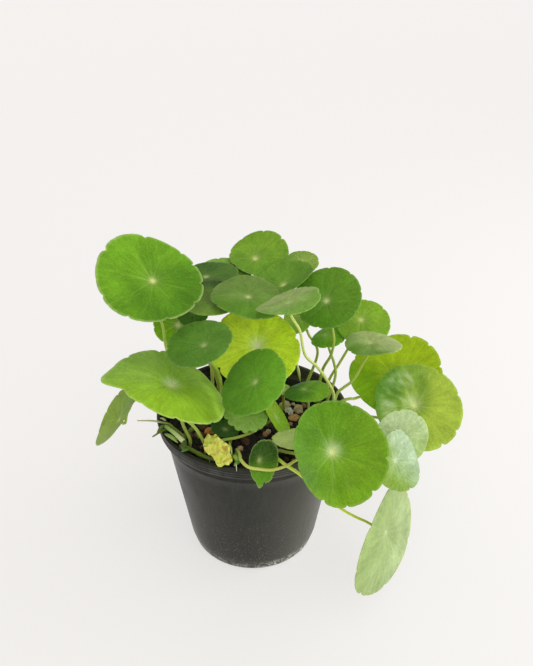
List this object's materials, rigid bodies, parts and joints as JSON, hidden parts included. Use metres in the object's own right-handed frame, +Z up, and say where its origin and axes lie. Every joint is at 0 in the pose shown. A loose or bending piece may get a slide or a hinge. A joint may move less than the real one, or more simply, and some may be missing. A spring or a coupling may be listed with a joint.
{
  "type": "potted pennywort",
  "caption": "Potted pennywort: round scalloped leaves on slender stalks, some trailing over the rim, rooted in gravelly soil in a tapered black nursery pot.",
  "frame": {"origin": "centre of the pot's foot, on the surface that the pot stands on", "axes": "+Z up along the pot's axis, -Y to the front, +X to the right seen from the front"},
  "size_m": [0.2044, 0.1661, 0.2002],
  "materials": {
    "pot_black": "satin black moulded plastic, scuffed",
    "soil": "dark gravelly potting soil with pebbles",
    "leaf_green": "satin mid-green leaf with pale veins",
    "leaf_deep": "satin dark green leaf with pale veins",
    "leaf_lime": "satin yellow-green leaf with pale veins",
    "leaf_pale": "matt pale green leaf",
    "leaf_yellow": "withered yellow leaf",
    "runner": "pale green creeping stem"
  },
  "bodies": {
    "root": {"pot": "pot_black", "soil": "soil", "runner": "runner", "leaf_back_left": "leaf_deep", "leaf_behind_left": "leaf_green", "leaf_behind_middle": "leaf_deep", "leaf_behind_right": "leaf_lime", "leaf_behind_side": "leaf_green", "leaf_crown_dark": "leaf_deep", "leaf_crown_front": "leaf_deep", "leaf_crown_pale": "leaf_deep", "leaf_crown_right": "leaf_green", "leaf_front_big": "leaf_green", "leaf_front_hanging": "leaf_pale", "leaf_front_left": "leaf_deep", "leaf_front_rim": "leaf_green", "leaf_gravel": "leaf_deep", "leaf_gravel_bud": "leaf_green", "leaf_left_hanging": "leaf_green", "leaf_left_high": "leaf_green", "leaf_left_low": "leaf_green", "leaf_left_shade": "leaf_deep", "leaf_left_under": "leaf_lime", "leaf_low_pale": "leaf_pale", "leaf_low_shade": "leaf_deep", "leaf_middle_band": "leaf_lime", "leaf_middle_dark": "leaf_deep", "leaf_middle_lime": "leaf_lime", "leaf_middle_low": "leaf_deep", "leaf_right_back": "leaf_green", "leaf_right_big": "leaf_green", "leaf_right_dark": "leaf_deep", "leaf_right_fold": "leaf_deep", "leaf_right_lime": "leaf_lime", "leaf_right_pale_back": "leaf_pale", "leaf_right_pale_front": "leaf_pale", "leaf_right_shade": "leaf_deep", "leaf_right_small": "leaf_deep", "leaf_top_high": "leaf_green", "leaf_top_rim": "leaf_green", "leaf_top_small": "leaf_lime", "leaf_withered": "leaf_yellow"}
  },
  "joints": []
}
